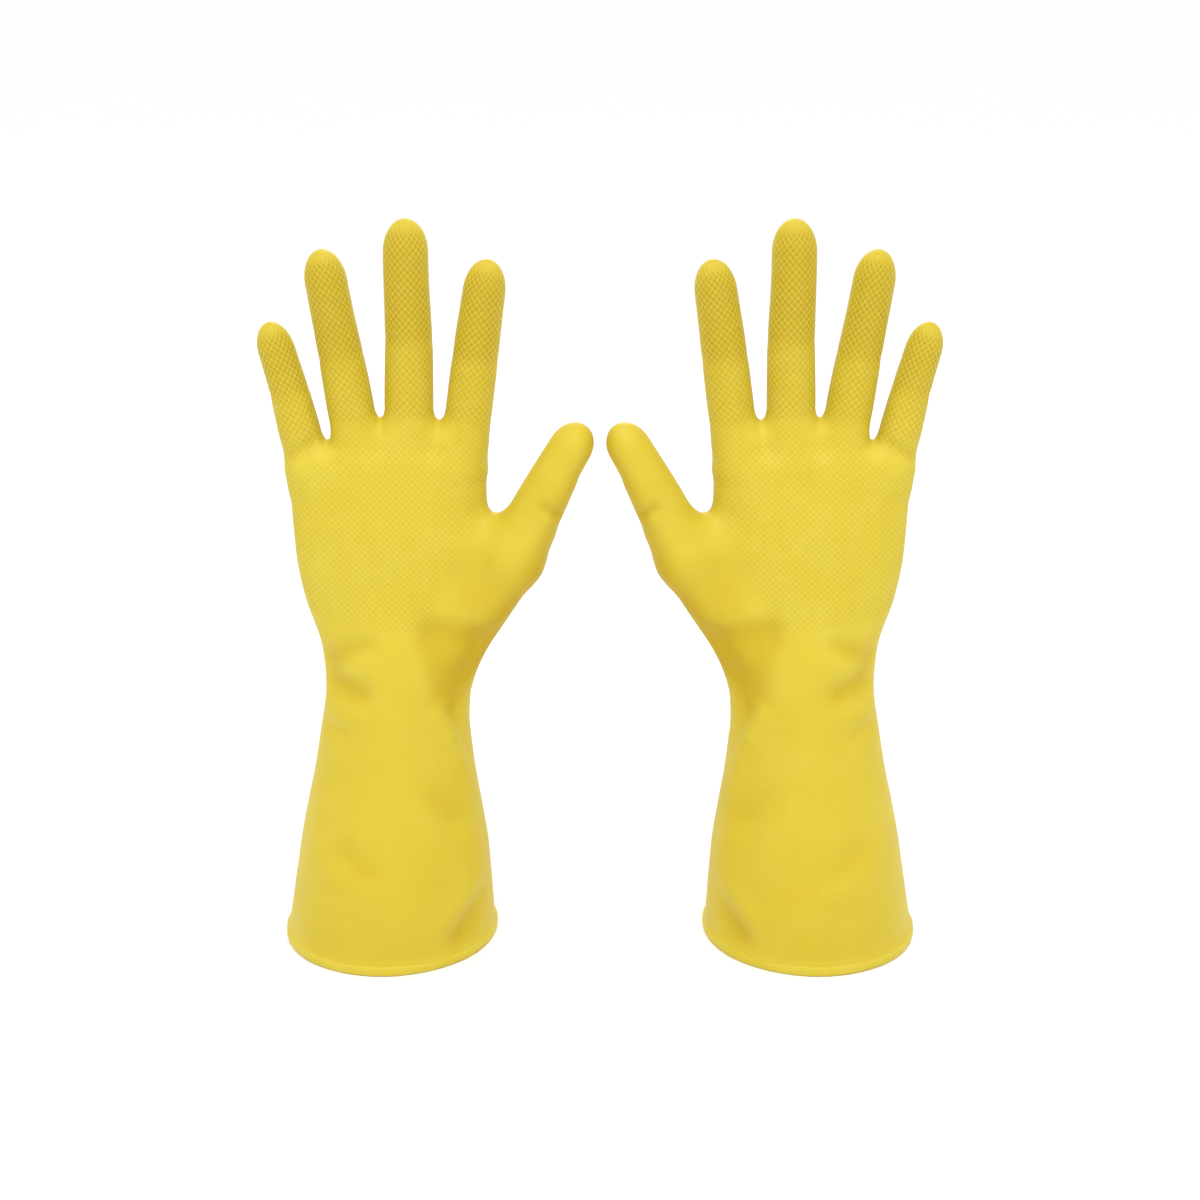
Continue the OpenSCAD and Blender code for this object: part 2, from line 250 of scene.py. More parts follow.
def wrapped(gap, low, high, step):
    """A net of four-sided faces over gap = 0. Each cell that the surface passes through gets
    one point, at the mean of where it crosses the cell's edges, and each crossed edge gets a
    face that joins the four cells round it. The net stays open where the grid ends."""
    axes = [np.arange(a, b, step) for a, b in zip(low, high)]
    grid = np.stack(np.meshgrid(*axes, indexing="ij"), -1)
    value = gap(grid.reshape(-1, 3)).reshape(grid.shape[:3])
    cells = np.array(value.shape) - 1
    total, count = np.zeros((*cells, 3)), np.zeros(cells)
    crossings = []
    for a in range(3):
        lower = [slice(None)] * 3
        upper = [slice(None)] * 3
        lower[a], upper[a] = slice(0, -1), slice(1, None)
        v0, v1 = value[tuple(lower)], value[tuple(upper)]
        crossed = (v0 < 0) != (v1 < 0)
        t = np.where(crossed, v0 / np.where(crossed, v0 - v1, 1), 0)
        place = grid[tuple(lower)] + t[..., None] * (grid[tuple(upper)] - grid[tuple(lower)])
        place = place * crossed[..., None]
        b, c = (a + 1) % 3, (a + 2) % 3
        for shift in np.ndindex(2, 2):
            part = [slice(None)] * 3
            part[b] = slice(shift[0], shift[0] + cells[b])
            part[c] = slice(shift[1], shift[1] + cells[c])
            total += place[tuple(part)]
            count += crossed[tuple(part)]
        crossings.append((crossed, v0 < 0))
    number = np.cumsum(count.ravel() > 0).reshape(count.shape) - 1
    points = total[count > 0] / count[count > 0][:, None]
    faces = []
    for a, (crossed, starts_inside) in enumerate(crossings):
        b, c = (a + 1) % 3, (a + 2) % 3
        at = np.argwhere(crossed)
        at = at[(at[:, b] > 0) & (at[:, b] < cells[b]) & (at[:, c] > 0) & (at[:, c] < cells[c])]
        back_b, back_c = np.eye(3, dtype=int)[b], np.eye(3, dtype=int)[c]
        ring = np.stack([number[tuple((at - shift).T)]
                         for shift in (back_b + back_c, back_c, 0 * back_b, back_b)], 1)
        outward = starts_inside[tuple(at.T)]
        faces.append(np.where(outward[:, None], ring, ring[:, ::-1]))
    return points, np.concatenate(faces)


def uphill(gap, p):
    """The gradient of gap, from its change over a twentieth of a millimetre each way."""
    d = 0.05
    return np.stack([(gap(p + d * way) - gap(p - d * way)) / (2 * d) for way in np.eye(3)], 1)


def face_edges(faces):
    """The two ends of each side of each face, in order round it."""
    return np.stack([faces, np.roll(faces, -1, 1)], -1).reshape(-1, 2)


def rim_edges(faces):
    """The sides that only one face has, in that face's order."""
    edges = face_edges(faces)
    key = np.sort(edges, 1) @ [faces.max() + 1, 1]
    _, where, times = np.unique(key, return_inverse=True, return_counts=True)
    return edges[times[where] == 1]


def settled(gap, points, faces, floor, rounds):
    """Evens the net out along the surface: each point goes halfway to the mean of its
    neighbours, then back onto gap = 0. The open rim keeps its height."""
    edges = face_edges(faces)
    on_rim = np.zeros(len(points), bool)
    on_rim[rim_edges(faces).ravel()] = True
    degree = np.bincount(edges.ravel(), minlength=len(points))[:, None]
    for _ in range(rounds):
        mean = np.zeros_like(points)
        np.add.at(mean, edges[:, 0], points[edges[:, 1]])
        np.add.at(mean, edges[:, 1], points[edges[:, 0]])
        points = 0.5 * (points + mean / degree)
        for _ in range(2):
            slope = uphill(gap, points)
            points = points - (gap(points) / (slope ** 2).sum(1))[:, None] * slope
            points[on_rim, 2] = floor
    return points


def outward(points, faces):
    """Point normals: the mean of the normals of the faces round each point, by their area."""
    a, b, c, d = (points[faces[:, i]] for i in range(4))
    flat = np.cross(c - a, d - b)
    normal = np.zeros_like(points)
    for i in range(4):
        np.add.at(normal, faces[:, i], flat)
    return normal / np.linalg.norm(normal, axis=1)[:, None]


# ---- The folds in the film ----------------------------------------------------------------
# A glove off its mould keeps soft dents and ridges where it was packed and handled, most of
# them at the wrist, where the palm pulls in above the cuff, and beside the ball of the thumb.

FRONT, BACK = -1.0, 1.0
# from x, z to x, z; half width; height, where a dent is negative; side
FOLDS = [
    # little finger's side of the wrist
    (-24, 134, -5, 142, 5.0, -2.0, FRONT), (-12, 130, -3, 134, 5.5, 0.9, FRONT),
    (-18, 125, -8, 121, 6.5, -2.5, FRONT), (-24, 110, -9, 111, 5.0, 0.9, FRONT),
    (-27, 107, -15.5, 101.5, 4.0, -1.0, FRONT), (8, 150, 4, 98, 12.0, 1.2, FRONT),
    # between the ball of the thumb and the wrist
    (24, 149, 44, 145, 7.0, -2.4, FRONT), (24, 141, 30, 122, 8.5, -2.8, FRONT),
    (43, 138, 39, 127, 7.0, -2.2, FRONT), (38, 121.5, 35, 121.5, 4.0, 0.6, FRONT),
    (35, 116, 33, 112, 4.0, -1.0, FRONT),
    # cuff
    (25, 112, 30, 99, 2.4, 0.9, FRONT), (30, 99, 36, 86, 2.4, 1.0, FRONT),
    (32, 111, 39, 88, 3.0, -1.2, FRONT), (24, 74, 31, 66, 7.0, -1.2, FRONT),
    (-16, 52, -8, 44, 7.5, -1.2, FRONT), (-20, 40, -4, 36, 6.0, 1.0, FRONT),
    (38, 52, 46, 44, 7.0, 1.2, FRONT), (51, 32, 34, 12, 5.5, -2.3, FRONT),
    (44, 38, 28, 22, 4.4, 1.2, FRONT),
    # palm
    (-38, 222, -26, 228, 2.6, -1.3, FRONT), (-38, 216, -18, 225.5, 2.6, 0.7, FRONT),
    (3, 230, 5, 227, 4.0, 0.6, FRONT), (28, 230, 29, 227, 4.0, 0.6, FRONT),
    # thumb
    (72, 203, 80, 197.5, 2.6, -1.6, FRONT), (73, 197, 80, 193, 2.8, 0.5, FRONT),
    # back of the hand and wrist
    (-22, 128, 10, 121, 4.0, -1.2, BACK), (-8, 134, 28, 130, 5.0, 0.8, BACK),
    (4, 116, 34, 110, 3.6, -1.0, BACK), (-24, 112, 2, 108, 4.5, 0.8, BACK),
    (26, 142, 46, 134, 4.5, -1.3, BACK), (-18, 96, 12, 92, 5.0, -0.8, BACK),
    (-30, 60, -6, 40, 8.0, -1.0, BACK), (10, 66, 34, 44, 9.0, 0.9, BACK),
    (20, 24, 40, 30, 6.0, -1.0, BACK), (-20, 190, 12, 182, 8.0, -0.5, BACK),
    (-34, 218, -12, 226, 4.0, -0.6, BACK), (50, 190, 64, 178, 5.0, -0.8, BACK),
]


# the film widens over its lowest few millimetres to meet the bead, and has a faint crease
# across the front of each knuckle: height and half width of each
FLARE, FLARE_WIDTH = 0.85, 3.0
CREASE, CREASE_WIDTH = 0.35, 2.8
SWELL = 0.25


def fold_heights(p, normal):
    """The height of the folds: each is a ridge with a bell-shaped section, exp(-(d / w)^2),
    where d is the distance to its line seen from the front. Below them lies a slow swell, a
    product of waves about 60 to 75 mm long."""
    x, y, z = p.T
    seen = p[:, [0, 2]]
    height = np.zeros(len(p))
    for x0, z0, x1, z1, width, rise, side in FOLDS:
        start, run = np.array([x0, z0]), np.array([x1 - x0, z1 - z0])
        t = np.clip((seen - start) @ run / (run @ run), 0, 1)
        d = np.linalg.norm(seen - start - t[:, None] * run, axis=1)
        height += rise * np.exp(-(d / width) ** 2) * across(0.1, 0.7, side * normal[:, 1])
    height += SWELL * np.sin(z / 9.3 + 1.2 * np.sin(x / 17)) * np.cos(x / 11.7 + y / 15 + 0.6)
    height += FLARE * np.exp(-((z - rim_height / 2) / FLARE_WIDTH) ** 2)
    for finger in FINGERS:
        fx, fy, fz = finger.local(p)
        near = across(finger.radius + 3, finger.radius, np.hypot(fx, fy)) * across(-4, 4, -fy)
        height -= CREASE * np.exp(-((fz - finger.knuckle + 2) / CREASE_WIDTH) ** 2) * near
    return height


# ---- The grip -----------------------------------------------------------------------------
# The mould's palm and fingers are engraved with a fine lattice, which leaves rows of small
# raised diamonds, about 2 mm apart, on the palm side of the four fingers and down to the heel
# of the hand. It fades out towards the ball of the thumb. The thumb and cuff are smooth.

GRIP_PITCH = 1.92
FINGER_PITCH = 2.14
GRIP_HEIGHT = 0.045
GRIP_TURN = 2 * np.pi / (GRIP_PITCH * 2 ** 0.5)
# smooth pads below the crotches: x, z, radius
PADS = [(5.3, 235, 6.5), (28.6, 234.5, 6.5), (-21, 224, 5), (-30, 219, 4.5)]


def grip_map(p, normal):
    """Where the lattice lies and how deep it is. It lies by x and z on the palm, and on the
    fingers by the way round from the middle of the front and the way along. It is deeper on
    the fingers than on the palm, and deepest past the knuckles."""
    place = p[:, [0, 2]].copy()
    x, _, z = p.T
    heel = across(146, 154, z + 0.12 * x)
    thumb_side_limit = 22 + (z - 150) * 0.45
    depth = 0.75 * heel * across(thumb_side_limit + 6, thumb_side_limit - 6, x)
    for finger in FINGERS:
        fx, fy, fz = finger.local(p)
        mine = across(finger.radius + 2.5, finger.radius + 0.5, np.hypot(fx, fy))
        mine *= across(-14, -2, fz)
        round_way = finger.radius * np.arctan2(fx, np.maximum(-fy, 0.05))
        own = np.stack([round_way, fz], 1) * GRIP_PITCH / FINGER_PITCH
        own += [finger.root[0], finger.root[2]]
        place += mine[:, None] * (own - p[:, [0, 2]])
        mine *= 1.3 + 0.6 * across(finger.knuckle - 10, finger.knuckle + 6, fz)
        depth = np.maximum(depth, mine * across(finger.length - 1, finger.length - 7, fz))
    for pad_x, pad_z, radius in PADS:
        depth *= across(0.5 * radius, 1.3 * radius, np.hypot(x - pad_x, z - pad_z))
    return place, depth * across(0.05, 0.45, -normal[:, 1])


def grip_rise(place, depth):
    """The lattice's height over the film: two families of waves at 45 degrees, whose crests
    cross at the diamonds."""
    x, z = GRIP_TURN * place.T
    return GRIP_HEIGHT * depth * (np.cos(x + z) + np.cos(x - z))


# ---- The depth of colour: thicker film and painted shade ----------------------------------
# Wet latex runs as the mould drains, so the film is not equally thick, and its yellow is
# deeper along the four fingers, where it is thick. The same deeper yellow is painted shade
# past the knuckles, down the outside of the thumb and over its ball, and in the dents. It is
# deeper at the wrist and towards the foot of the cuff too. Its turns with the way the surface
# faces, and its fading at the fingertips and at the foot of the cuff, are painted light and shade.

DEEPEST = 1.2


def colour_depth(p, height, normal):
    """0 where the yellow is at its palest, 1 or a little more where it is deepest: partly the
    thicker film, partly painted shade. It is the sum of a share for the cuff, for the ball of
    the thumb and for the thumb's outside, or the share of a finger where that is more, and on
    top of it painted shade in the dents."""
    x, _, z = p.T
    # painted light: the cuff's share is weaker where the surface turns side-on
    broadside = 0.4 + 0.6 * across(0.2, 0.9, np.abs(normal[:, 1]))
    # the cuff's share fades out over its lowest 10 mm: painted light along the foot of the cuff
    cuff = (0.33 * across(155, 105, z) + 0.12 * across(80, 30, z)) * across(-2, 10, z)
    # painted shade over the ball of the thumb
    ball = across(24, 44, x) * (0.25 + 0.4 * across(190, 165, z)) * across(112, 130, z)
    # painted shade down the outside of the thumb, where the surface turns to the thumb's side
    outside = across(24, 40, x - np.maximum(z - 180, 0)) * across(118, 145, z)
    outside *= (0.5 + 0.4 * across(165, 145, z)) * across(0.1, 0.8, normal[:, 0])
    depth = cuff * broadside + ball + outside
    # a finger's share is weaker where the surface turns side-on: painted light on the fingers'
    # sides
    facing = 0.1 + 0.58 * across(0.35, 0.95, -normal[:, 1])
    for finger in FINGERS:
        fx, fy, fz = finger.local(p)
        mine = across(finger.radius + 3, finger.radius + 1, np.hypot(fx, fy))
        # deeper along the finger for the thicker film, and deeper still past the knuckle, where the
        # finger leans forward: that part is painted shade
        mine *= 0.6 * across(-24, 10, fz) + 0.4 * across(finger.knuckle - 8, finger.knuckle + 6, fz)
        # a little less deep over the last 14 mm: painted light on the rounded fingertip
        mine *= 0.8 + 0.2 * across(finger.length, finger.length - 14, fz)
        slender = 0.3 + 0.7 * across(8.0, 9.8, finger.radius)
        depth = np.maximum(depth, mine * facing * slender)
    # painted shade in the dents
    dents = 0.8 * across(0.3, -3.2, height)
    return np.minimum(depth + dents, DEEPEST)


# ---- Cutting the skin where it bends ------------------------------------------------------
# The skin is one piece in real life. Here it is cut into pieces that ride on one body, or lie
# over the zone between two, and neighbours share their edges and normals, so that no joint shows.

MESH_STEP = 1.4
SETTLING_ROUNDS = 6
# a piece that bends reaches this far past the ends of its bending zone
CUT_MARGIN = 1.5
# the skin of a stall lies at most this much further out than its radius
STALL_REACH = 6
# the wrist's middle line stands this far towards the thumb
WRIST_MIDDLE = 5.5
floor_height = rim_height / 2
skin, skin_faces = wrapped(
    glove_gap, (-52, -50, floor_height), (100, 50, 325), MESH_STEP)
skin = settled(glove_gap, skin, skin_faces, floor_height, SETTLING_ROUNDS)
base_normals = uphill(glove_gap, skin)
base_normals /= np.linalg.norm(base_normals, axis=1)[:, None]
grip_place, grip_depth = grip_map(skin, base_normals)
centres = skin[skin_faces].mean(1)
heights = fold_heights(skin, base_normals)
# the deeper yellow of the thicker film, with painted shade
film_and_shade_depths = colour_depth(skin, heights, base_normals)
skin = skin + base_normals * heights[:, None]
skin_normals = outward(skin, skin_faces)

# name, bodies, node that it stands for, ends of its bending zone
PIECES = [
    ("cuff", ["cuff"], "cuff", None),
    ("wrist", ["cuff", "hand"], None, tuple([WRIST_MIDDLE, 0, z] for z in WRIST_ZONE)),
    ("hand", ["hand"], "hand", None),
]
piece_of_face = np.full(len(skin_faces), 2)
piece_of_face[centres[:, 2] < WRIST_ZONE[1] + CUT_MARGIN] = 1
piece_of_face[centres[:, 2] < WRIST_ZONE[0] - CUT_MARGIN] = 0
nearest = np.full(len(centres), np.inf)
for stall in STALLS:
    x, y, along = stall.local(centres)
    off = np.hypot(x, y)
    mine = (off < nearest) & (off < stall.radius + STALL_REACH)
    mine &= along > stall.root_zone[0] - CUT_MARGIN
    nearest[mine] = off[mine]
    number = len(PIECES)
    piece_of_face[mine] = number
    piece_of_face[mine & (along > stall.knuckle_zone[0])] = number + 1
    root, tip = stall.name + "_root", stall.name + "_tip"
    PIECES.append((root, ["hand", root], root, tuple(stall.point(s) for s in stall.root_zone)))
    PIECES.append((tip, [root, tip], tip, tuple(stall.point(s) for s in stall.knuckle_zone)))


def shell(points, normals, faces, outside, inside):
    """A closed wall: the faces moved outside along the normals, the same faces turned round
    and moved inside, and a strip round each open edge."""
    used, index = np.unique(faces, return_inverse=True)
    index = index.reshape(faces.shape)
    place, way = points[used], normals[used]
    both = np.concatenate([place + outside * way, place + inside * way])
    edge = rim_edges(index)
    strip = np.stack([edge[:, 1], edge[:, 0], edge[:, 0] + len(used), edge[:, 1] + len(used)], 1)
    walls = np.concatenate([index, index[:, ::-1] + len(used), strip])
    return both, walls, np.concatenate([way, -way]), np.concatenate([used, used])


def split_faces(faces, chosen, total, k):
    """Splits each chosen four-sided face into k by k. Two split faces share the new points on
    their common side, and a whole face takes the new points on its sides into its outline.
    Returns the faces and, for each point, four old points and their weights in its mean."""
    ends = face_edges(faces).reshape(-1, 4, 2)
    side_key = ends.min(2) * total + ends.max(2)
    split = np.unique(side_key[chosen])
    is_split = np.isin(side_key, split)
    # the new points of each side, in their order round the face
    on_side = total + np.searchsorted(split, side_key)[..., None] * (k - 1) + np.arange(k - 1)
    on_side = np.where((ends[..., 0] < ends[..., 1])[..., None], on_side, on_side[..., ::-1])
    # a grid of points over each chosen face
    corners, sides = faces[chosen], on_side[chosen]
    inner = total + len(split) * (k - 1) + np.arange(len(corners) * (k - 1) ** 2)
    grid = np.zeros((len(corners), k + 1, k + 1), int)
    grid[:, [0, 0, k, k], [0, k, k, 0]] = corners
    grid[:, 0, 1:k], grid[:, 1:k, k] = sides[:, 0], sides[:, 1]
    grid[:, k, 1:k], grid[:, 1:k, 0] = sides[:, 2, ::-1], sides[:, 3, ::-1]
    grid[:, 1:k, 1:k] = inner.reshape(-1, k - 1, k - 1)
    small = np.stack([grid[:, :-1, :-1], grid[:, :-1, 1:], grid[:, 1:, 1:], grid[:, 1:, :-1]], -1)
    whole = [sum(([point] + list(new) * bool(cut) for point, new, cut in zip(*face)), [])
             for face in zip(*(part[~chosen] for part in (faces, on_side, is_split)))]
    # where each new point lies between old ones
    step = np.arange(1, k) / k
    u, v = np.meshgrid(step, step)
    side_share = np.stack([1 - step, step, 0 * step, 0 * step], 1)
    inner_share = np.stack([(1 - v) * (1 - u), (1 - v) * u, v * u, v * (1 - u)], -1).reshape(-1, 4)
    old = np.concatenate([
        np.repeat(np.arange(total)[:, None], 4, 1),
        np.repeat(np.stack([split // total, split % total] * 2, 1), k - 1, 0),
        np.repeat(corners, (k - 1) ** 2, 0)])
    share = np.concatenate([
        np.tile([1.0, 0, 0, 0], (total, 1)), np.tile(side_share, (len(split), 1)),
        np.tile(inner_share, (len(corners), 1))])
    return small.reshape(-1, 4).tolist() + whole, old, share


def new_piece(name, points, faces, normals, side, material):
    """Puts a piece of the right-hand glove, or its mirror image, into the scene."""
    sign = SIDES[side]
    mirror = np.array([sign, 1, 1])
    mesh = bpy.data.meshes.new(name)
    placed = (points + [glove_x, 0, 0]) * mirror * MM
    turned = [list(face) if sign > 0 else list(face[::-1]) for face in faces]
    mesh.from_pydata(placed.tolist(), [], turned)
    mesh.polygons.foreach_set("use_smooth", np.ones(len(turned), bool))
    mesh.normals_split_custom_set_from_vertices((normals * mirror).tolist())
    mesh.materials.append(material)
    piece = bpy.data.objects.new(name, mesh)
    bpy.context.collection.objects.link(piece)
    return piece


def fasten(piece, side, bodies, zone):
    """Rides on one body; a piece over a bending zone is left loose, with its place baked into its
    points.
    """
    bodies = [side + "_" + body for body in bodies]
    if zone is None:
        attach(piece, bodies[0])
    else:
        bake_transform(piece)


# ---- Latex --------------------------------------------------------------------------------
# Natural rubber latex, dipped and cured: a yellow satin skin with a faint mottle from the dip,
# and a dull bloom where the mottle is lightest.


def linear(hex_colour):
    """An sRGB hex colour as linear red, green, blue and alpha."""
    c = np.array([int(hex_colour[i:i + 2], 16) for i in (0, 2, 4)]) / 255
    c = np.where(c <= 0.04045, c / 12.92, ((c + 0.055) / 1.055) ** 2.4)
    return (*c, 1.0)


def add(tree, kind, settings=None, **links):
    """Adds a node. Settings are its own properties and its inputs' values; links join its
    inputs, named with underscores or numbered as in1, to other nodes' outputs."""
    node = tree.nodes.new("ShaderNode" + kind)
    for key, value in (settings or {}).items():
        if isinstance(key, int) or key in node.inputs:
            node.inputs[key].default_value = value
        else:
            setattr(node, key, value)
    for key, output in links.items():
        key = int(key[2:]) if key.startswith("in") and key[2:].isdigit() else key.replace("_", " ")
        tree.links.new(output, node.inputs[key])
    return node


def new_material(name, **settings):
    """A material with its Principled shader, and that shader's own settings."""
    material = bpy.data.materials.new(name)
    material.use_nodes = True
    shader = material.node_tree.nodes["Principled BSDF"]
    for key, value in settings.items():
        shader.inputs[key.replace("_", " ")].default_value = value
    return material, material.node_tree, shader


LATEX_YELLOW = "C8B331"
# the deeper yellow of thicker film, used also for painted shade
LATEX_THICK_AND_SHADED = "B89A13"
LATEX_BLOOM = "CEBC42"
# painted shade in the grooves of the lattice
GROOVE_PAINTED_SHADE = "967900"
MOTTLE_SIZE = 14 * MM
SPECK_SIZE = 1.1 * MM
SPECK_HEIGHT = 0.03 * MM

latex, tree, shader = new_material(
    "dipped latex", Roughness=0.5, IOR=1.52, Specular_IOR_Level=0.22)
place = add(tree, "TexCoord").outputs["Object"]
mottle = add(tree, "TexNoise", {"Scale": 1 / MOTTLE_SIZE, "Detail": 3.0}, Vector=place)
speck = add(tree, "TexNoise", {"Scale": 1 / SPECK_SIZE, "Detail": 2.0}, Vector=place)
bloom = add(tree, "MapRange", {"From Min": 0.35, "From Max": 0.7, "To Max": 0.5},
            Value=mottle.outputs["Fac"])
tone = add(tree, "Mix", {"data_type": "RGBA", 6: linear(LATEX_YELLOW), 7: linear(LATEX_BLOOM)},
           in0=bloom.outputs[0])
# the deeper yellow of thicker film, and painted shade, mixed in by the point attribute
film_and_shade_deepness = add(tree, "Attribute", {"attribute_name": "colour_depth"}).outputs["Fac"]
film_and_shade_deepness = add(tree, "Math", {"operation": "MULTIPLY", 1: 0.8}, in0=film_and_shade_deepness).outputs[0]
dipped = add(tree, "Mix", {"data_type": "RGBA", 7: linear(LATEX_THICK_AND_SHADED)}, in0=film_and_shade_deepness,
             in6=tone.outputs[2])
# the lattice again, as a bump that sharpens its relief, and painted shade in the grooves between
lattice = add(tree, "UVMap", {"uv_map": "grip"})
parts = add(tree, "SeparateXYZ", Vector=lattice.outputs["UV"])
wave = []
for sign in ("ADD", "SUBTRACT"):
    diagonal = add(tree, "Math", {"operation": sign}, in0=parts.outputs["X"],
                   in1=parts.outputs["Y"])
    phase = add(tree, "Math", {"operation": "MULTIPLY", 1: GRIP_TURN / MM},
                in0=diagonal.outputs[0])
    wave.append(add(tree, "Math", {"operation": "COSINE"}, in0=phase.outputs[0]).outputs[0])
crest = add(tree, "Math", {"operation": "ADD"}, in0=wave[0], in1=wave[1]).outputs[0]
depth = add(tree, "Attribute", {"attribute_name": "grip_depth"}).outputs["Fac"]
raised = add(tree, "Math", {"operation": "MULTIPLY"}, in0=crest, in1=depth).outputs[0]
# painted shade: the low places of the lattice are coloured darker
groove_shade = add(tree, "MapRange", {"From Min": 1.0, "From Max": -1.0, "To Max": 0.25}, Value=crest)
groove_shade = add(tree, "Math", {"operation": "MULTIPLY"}, in0=groove_shade.outputs[0], in1=depth)
colour = add(tree, "Mix", {"data_type": "RGBA", 7: linear(GROOVE_PAINTED_SHADE)}, in0=groove_shade.outputs[0],
             in6=dipped.outputs[2])
tree.links.new(colour.outputs[2], shader.inputs["Base Color"])
fine = add(tree, "Bump", {"Distance": SPECK_HEIGHT, "Strength": 0.6}, Height=speck.outputs["Fac"])
engraved = add(tree, "Bump", {"Distance": GRIP_HEIGHT * MM, "Strength": 1.0}, Height=raised,
               Normal=fine.outputs["Normal"])
tree.links.new(engraved.outputs["Normal"], shader.inputs["Normal"])

# Under the lattice the outer wall is split four by four, so that its diamonds have form. Where
# the lattice is slighter than this depth, that would not show.
GRIP_SPLIT = 4
SLIGHT_GRIP = 0.3

for number, (name, bodies, node, zone) in enumerate(PIECES):
    faces = skin_faces[piece_of_face == number]
    points, walls, normals, origin = shell(skin, skin_normals, faces, 0.0, -FILM)
    relief = np.where(np.arange(len(points)) < len(points) // 2, grip_depth[origin], 0)
    gripped = (np.arange(len(walls)) < len(faces)) & (relief[walls].max(1) > SLIGHT_GRIP)
    walls, old, share = split_faces(walls, gripped, len(points), GRIP_SPLIT)
    points, normals, place, depth, relief, tone = (
        (values.reshape(len(values), -1)[old] * share[..., None]).sum(1) for values in (
            points, normals, grip_place[origin], grip_depth[origin], relief, film_and_shade_depths[origin]))
    normals = normals / np.linalg.norm(normals, axis=1)[:, None]
    points = points + normals * grip_rise(place, relief[:, 0])[:, None]
    for side in SIDES:
        piece = new_piece(f"{side}_{name}_film", points, walls, normals, side, latex)
        corner = np.zeros(len(piece.data.loops), int)
        piece.data.loops.foreach_get("vertex_index", corner)
        lattice_map = piece.data.uv_layers.new(name="grip")
        lattice_map.data.foreach_set("uv", (place * MM)[corner].ravel())
        # the point attribute carries the deeper yellow of thicker film and painted shade
        for label, values in (("grip_depth", depth), ("colour_depth", tone)):
            layer = piece.data.attributes.new(label, "FLOAT", "POINT")
            layer.data.foreach_set("value", values.ravel())
        fasten(piece, side, bodies, zone)
        if node:
            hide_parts(f"{side}_{node}")

# ---- Flock --------------------------------------------------------------------------------
# Short cotton fibres, blown onto the wet inside of the film so that the glove slips on dry.
# It lines the hand and the cuff down to the rim, as a pale felt about 0.35 mm deep. A single
# fibre is too fine to show, so the nap is drawn as tufts half a millimetre apart.

FLOCK = 0.35
# the glue between film and flock, and how far above the bead the lining starts
FLOCK_GAP = 0.02
RIM_CLEAR = 1.0
TUFT_SIZE = 0.5 * MM
TUFT_HEIGHT = 0.2 * MM
FLOCK_SHADE, FLOCK_CREAM = "E9E2C8", "F8F4E6"
cotton, tree, shader = new_material("cotton flock", Roughness=0.95, IOR=1.5, Sheen_Weight=0.4)
place = add(tree, "TexCoord").outputs["Object"]
fibre = add(tree, "TexNoise", {"Scale": 1 / TUFT_SIZE, "Detail": 4.0}, Vector=place)
felt = add(tree, "Mix", {"data_type": "RGBA", 6: linear(FLOCK_SHADE), 7: linear(FLOCK_CREAM)},
           in0=fibre.outputs["Fac"])
tree.links.new(felt.outputs[2], shader.inputs["Base Color"])
nap = add(tree, "Bump", {"Distance": TUFT_HEIGHT, "Strength": 0.8}, Height=fibre.outputs["Fac"])
tree.links.new(nap.outputs["Normal"], shader.inputs["Normal"])

for side in SIDES:
    for number, (name, bodies, node, zone) in enumerate(PIECES):
        faces = skin_faces[piece_of_face == number]
        if name == "cuff":
            faces = faces[centres[piece_of_face == number][:, 2] > rim_height + RIM_CLEAR]
        points, walls, normals, _ = shell(
            skin, skin_normals, faces, -FILM - FLOCK_GAP, -FILM - FLOCK)
        piece = new_piece(f"{side}_{name}_lining", points, walls, normals, side, cotton)
        fasten(piece, side, bodies, zone)
        if node:
            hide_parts(f"{side}_{node}_flock")

# ---- The rolled rim -----------------------------------------------------------------------
# The open end of the film is rolled up on itself while it is still tacky, which leaves a soft
# round bead that keeps the cuff from tearing. The glove stands on it. Its section is an oval
# that is a little flattened above and below, and it is slightly uneven round the cuff.

RIM_THICK = 2.4
RIM_FLATNESS = 0.7
turns, sides = 180, 20
around = np.linspace(0, 2 * np.pi, turns, endpoint=False)[:, None]
section = np.linspace(0, 2 * np.pi, sides, endpoint=False)[None]
squeeze = 0.12 * np.sin(3 * around + 1) + 0.08 * np.sin(7 * around)
out = rim_radius - RIM_THICK / 2 + squeeze + RIM_THICK / 2 * np.cos(section)
rise = np.sign(np.sin(section)) * np.abs(np.sin(section)) ** RIM_FLATNESS
up = rim_height / 2 * (1 + rise)
rim_points = np.stack([out * np.cos(around), out * np.sin(around), up + 0 * around], -1)
a, b = np.meshgrid(np.arange(turns), np.arange(sides), indexing="ij")
a1, b1 = (a + 1) % turns, (b + 1) % sides
rim_faces = np.stack([a * sides + b, a1 * sides + b, a1 * sides + b1, a * sides + b1], -1)
rim_points, rim_faces = rim_points.reshape(-1, 3), rim_faces.reshape(-1, 4)
rim_normals = outward(rim_points, rim_faces)
for side in SIDES:
    rim = new_piece(f"{side}_rolled_rim", rim_points, rim_faces, rim_normals, side, latex)
    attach(rim, side + "_cuff")
    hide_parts(side + "_cuff_bead")

# ---- Studio -------------------------------------------------------------------------------
# A white floor as far as the eye can see, a white sky that is dimmer above the horizon, and
# four soft boxes: one at each side in front, one overhead in front, and one behind.

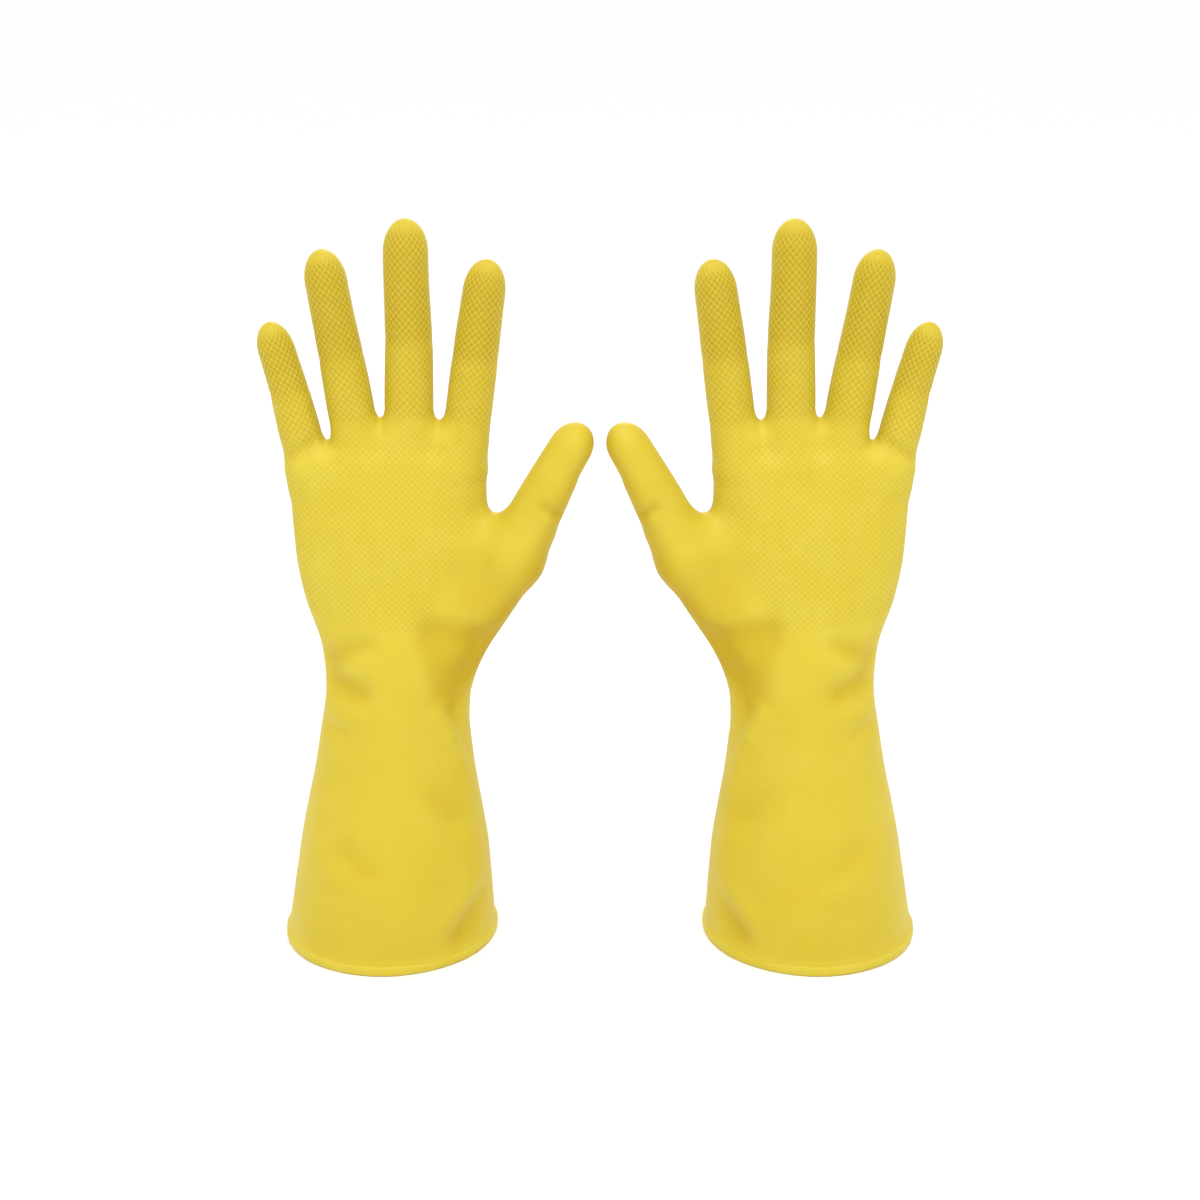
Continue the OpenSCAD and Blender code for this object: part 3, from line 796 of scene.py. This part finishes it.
floor_mesh = bpy.data.meshes.new("floor")
reach = 60.0
floor_mesh.from_pydata(
    [(-reach, -reach, 0), (reach, -reach, 0), (reach, reach, 0), (-reach, reach, 0)],
    [], [(0, 1, 2, 3)])
floor = bpy.data.objects.new("floor", floor_mesh)
bpy.context.collection.objects.link(floor)
paper, _, _ = new_material("white paper", Base_Color=linear("F6F6F6"), Roughness=0.9)
floor_mesh.materials.append(paper)

# height, brightness: white at the horizon, dimmer above it, brightest overhead
SKY = [(0.12, 0.72), (0.35, 0.42), (1.0, 1.0)]
SKY_STRENGTH = 1.48
world = bpy.data.worlds.new("studio")
bpy.context.scene.world = world
world.use_nodes = True
sky = world.node_tree
sky_height = add(sky, "SeparateXYZ", Vector=add(sky, "TexCoord").outputs["Generated"])
sky_tone = add(sky, "ValToRGB", Fac=sky_height.outputs["Z"])
for number, (level, brightness) in enumerate(SKY):
    ramp = sky_tone.color_ramp.elements
    stop = ramp[number] if number < 2 else ramp.new(level)
    stop.position = level
    stop.color = (brightness, brightness, brightness, 1)
sky.links.new(sky_tone.outputs["Color"], sky.nodes["Background"].inputs["Color"])
sky.nodes["Background"].inputs["Strength"].default_value = SKY_STRENGTH

# name, place, height that it faces, power in watts
SOFT_BOXES = [
    ("left box", (-1.1, -0.9, 0.7), 0.17, 1.5), ("right box", (1.1, -0.9, 0.7), 0.17, 1.5),
    ("top box", (0, -0.75, 1.35), 0.15, 8.5), ("back box", (0, 1.2, 0.9), 0.15, 4),
]
BOX_SIZE = 0.7
for name, place, aim, power in SOFT_BOXES:
    lamp = bpy.data.lights.new(name, "AREA")
    lamp.size, lamp.energy = BOX_SIZE, power
    box = bpy.data.objects.new(name, lamp)
    bpy.context.collection.objects.link(box)
    box.location = place
    box.rotation_euler = (Vector((0, 0, aim)) - Vector(place)).to_track_quat("-Z", "Y").to_euler()

# the camera looks down a little, from an arm's length in front
camera_pitch = np.radians(18.0)
camera_distance = 0.85
camera_aim = 0.157
camera_data = bpy.data.cameras.new("camera")
camera_data.lens = 58.83
camera = bpy.data.objects.new("camera", camera_data)
bpy.context.collection.objects.link(camera)
camera.location = (0, -camera_distance * np.cos(camera_pitch),
                   camera_aim + camera_distance * np.sin(camera_pitch))
camera.rotation_euler = (np.pi / 2 - camera_pitch, 0, 0)
bpy.context.scene.camera = camera
bpy.context.scene.view_settings.view_transform = "Standard"
